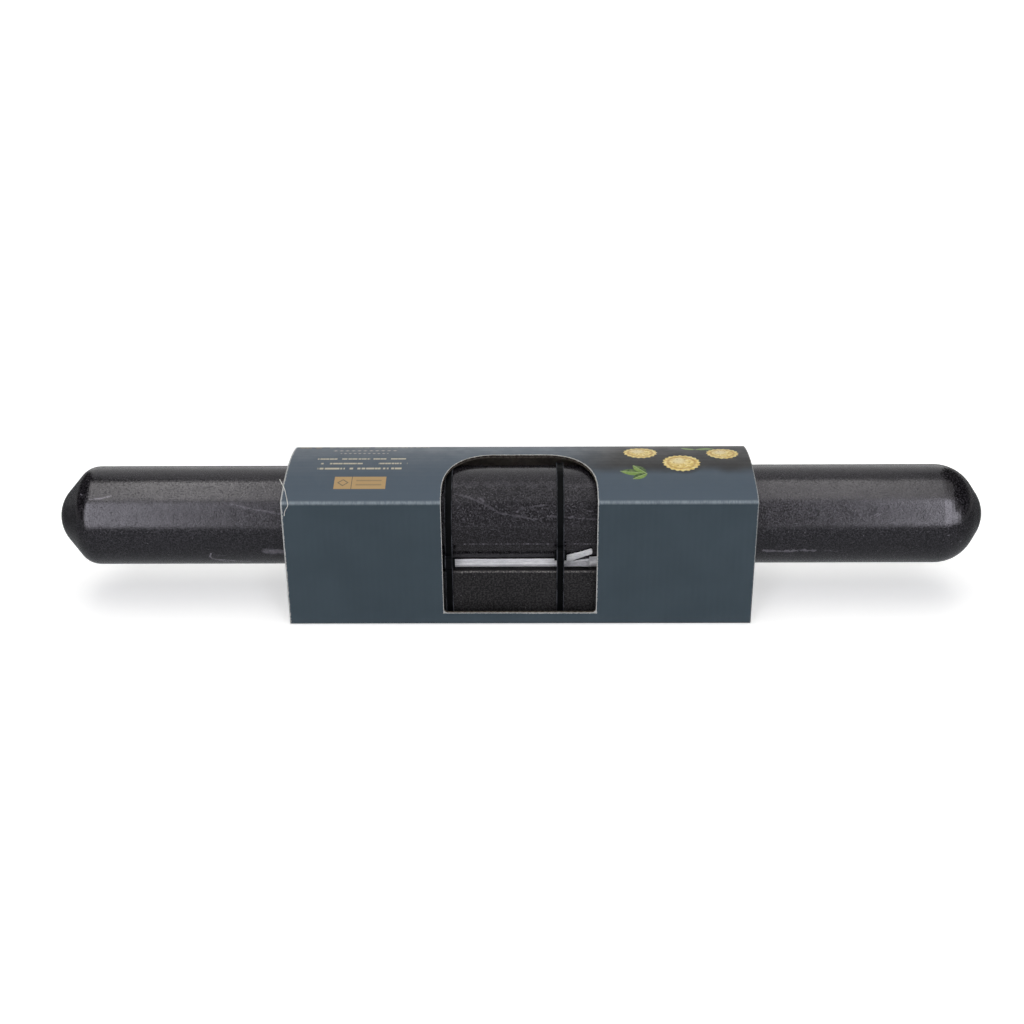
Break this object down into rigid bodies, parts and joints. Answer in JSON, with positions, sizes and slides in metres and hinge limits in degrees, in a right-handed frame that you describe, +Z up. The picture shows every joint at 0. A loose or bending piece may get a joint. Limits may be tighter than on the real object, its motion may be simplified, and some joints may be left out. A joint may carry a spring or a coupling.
{
  "type": "marble rolling pin",
  "caption": "Solid black marble rolling pin with domed ends, cable-tied to a foam-lined marble rest inside a windowed corrugated sleeve.",
  "frame": {"origin": "middle of the sleeve's underside, below the middle of the pin", "axes": "+X along the pin to the right, +Y to the rear of the pack, +Z up"},
  "size_m": [0.46, 0.063, 0.0735],
  "materials": {
    "pin_marble": "honed and oiled black marble",
    "rest_marble": "sawn and honed black marble",
    "white_foam": "soft closed-cell foam sheet",
    "black_nylon": "moulded nylon",
    "printed_paper": "slate blue print with a satin varnish",
    "fluting_paper": "raw fluting paper",
    "kraft_paper": "raw liner paper"
  },
  "bodies": {
    "cradle": {"rest": "rest_marble", "foam_liner": "white_foam", "left_tie": "black_nylon", "right_tie": "black_nylon"},
    "pin": {"rolling_pin": "pin_marble"},
    "sleeve": {"sleeve_outer_liner": "printed_paper", "sleeve_fluting": "fluting_paper", "sleeve_inner_liner": "kraft_paper"}
  },
  "joints": [
    {"name": "pin_turn", "type": "hinge", "parent": "cradle", "child": "pin", "pos_m": [0, 0, 0.0457], "axis": [1, 0, 0], "continuous": true},
    {"name": "sleeve_slide", "type": "slide", "parent": "cradle", "child": "sleeve", "axis": [1, 0, 0], "range_m": [-0.36, 0.36]}
  ]
}
